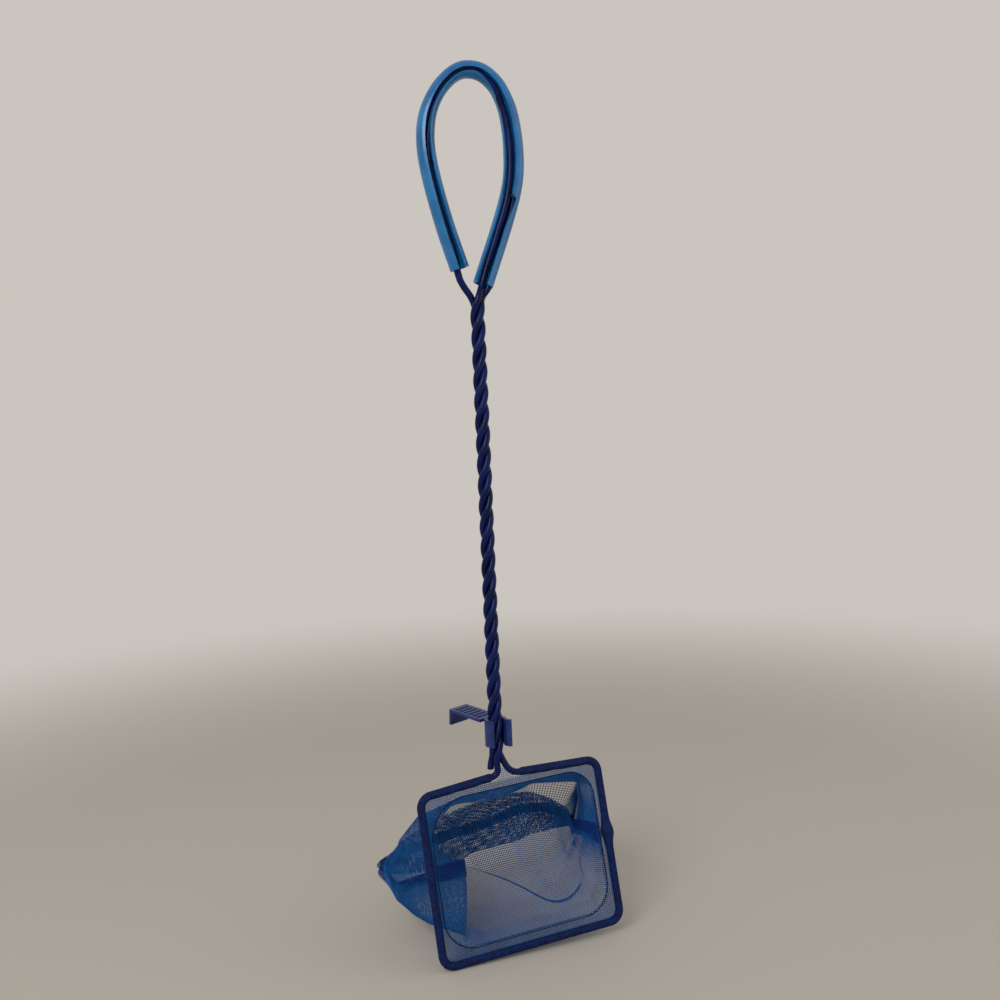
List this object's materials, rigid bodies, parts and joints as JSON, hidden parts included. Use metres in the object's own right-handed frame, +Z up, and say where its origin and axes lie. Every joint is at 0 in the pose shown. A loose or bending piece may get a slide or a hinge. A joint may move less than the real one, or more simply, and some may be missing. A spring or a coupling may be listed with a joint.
{
  "type": "aquarium fish net",
  "caption": "Aquarium fish net: a mesh bag sewn on a bent wire hoop, a twisted wire shaft, a hand loop in a split grip sleeve and a sliding clip for the tank's rim.",
  "frame": {"origin": "Where a peg bears on the inside of the hand loop, at the top of the grip sleeve.", "axes": "+Z runs up the twisted shaft, +X to the right across the hoop, and the bag hangs behind the hoop, towards +Y."},
  "size_m": [0.1201, 0.0742, 0.4502],
  "materials": {
    "wire_coating": "glossy navy coating",
    "wire_core": "drawn steel wire",
    "grip_sleeve": "clear blue soft plastic",
    "clip_plastic": "glossy moulded navy plastic",
    "mesh_cloth": "fine blue netting",
    "hem_cloth": "folded navy netting",
    "seam_cloth": "overlocked blue thread",
    "sewing_thread": "navy thread"
  },
  "bodies": {
    "net": {"hoop_wire_core": "wire_core", "hoop_wire_coating": "wire_coating", "shaft_strand_1_core": "wire_core", "shaft_strand_1_coating": "wire_coating", "shaft_strand_2_core": "wire_core", "shaft_strand_2_coating": "wire_coating", "shaft_strand_3_core": "wire_core", "shaft_strand_3_coating": "wire_coating", "loop_wire_core": "wire_core", "loop_wire_coating": "wire_coating", "loop_tail_core": "wire_core", "loop_tail_coating": "wire_coating", "grip_sleeve": "grip_sleeve", "hem_casing": "hem_cloth", "hem_flap": "mesh_cloth", "hem_stitching": "sewing_thread", "neck_gusset": "mesh_cloth", "bag_upper_panel": "mesh_cloth", "bag_lower_panel": "mesh_cloth", "left_side_seam": "seam_cloth", "right_side_seam": "seam_cloth", "far_edge_seam": "seam_cloth"},
    "clip": {"rim_clip": "clip_plastic"}
  },
  "joints": [
    {"name": "clip_slide", "type": "slide", "parent": "net", "child": "clip", "axis": [0, 0, 1], "range_m": [0, 0.205]}
  ]
}
